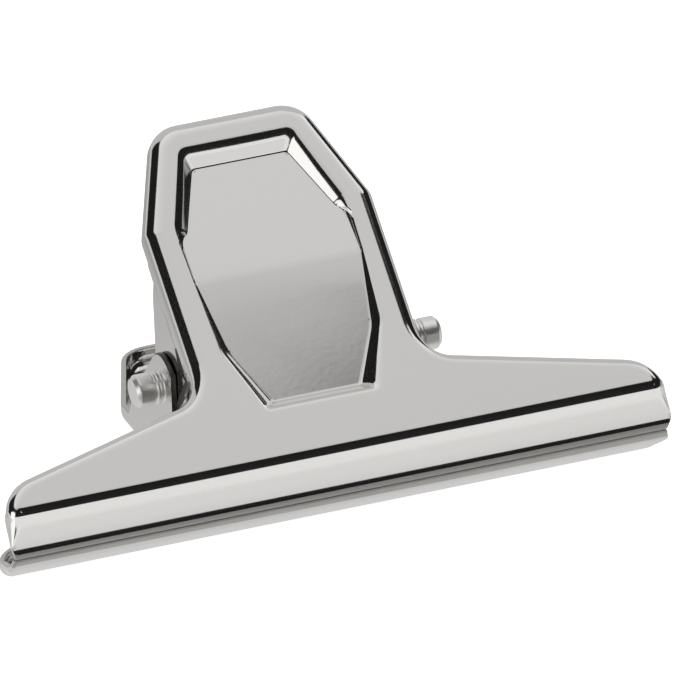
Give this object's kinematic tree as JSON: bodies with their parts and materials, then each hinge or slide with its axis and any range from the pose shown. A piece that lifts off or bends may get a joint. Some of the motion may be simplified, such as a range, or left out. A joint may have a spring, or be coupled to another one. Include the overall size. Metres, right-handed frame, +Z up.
{
  "type": "bulldog clip",
  "caption": "Wide sprung paper clip: two pressed steel plates hinged on a pin with a coil spring, squeezed by the handles to open straight jaws.",
  "frame": {"origin": "on the resting plane, under the middle of the bounding box; the clip lies on its rear plate with the jaws shut", "axes": "X along the jaws and the pivot pin, Y from the jaws towards the handles' ends, Z up from the rear plate to the front plate"},
  "size_m": [0.125, 0.0746, 0.0588],
  "materials": {
    "plated_steel": "bright nickel plate",
    "turned_pin": "turned and plated",
    "spring_wire": "drawn spring wire, plated"
  },
  "bodies": {
    "rear_half": {"rear_plate": "plated_steel", "pivot_pin": "turned_pin", "torsion_spring": "spring_wire"},
    "front_half": {"front_plate": "plated_steel"}
  },
  "joints": [
    {"name": "jaw_hinge", "type": "hinge", "parent": "rear_half", "child": "front_half", "pos_m": [0, -0.00479, 0.01797], "axis": [-1, 0, 0], "range_deg": [0, 35], "stiffness_Nm_per_rad": 0.3, "springref_deg": -34.38, "deforming": ["torsion_spring"]}
  ]
}
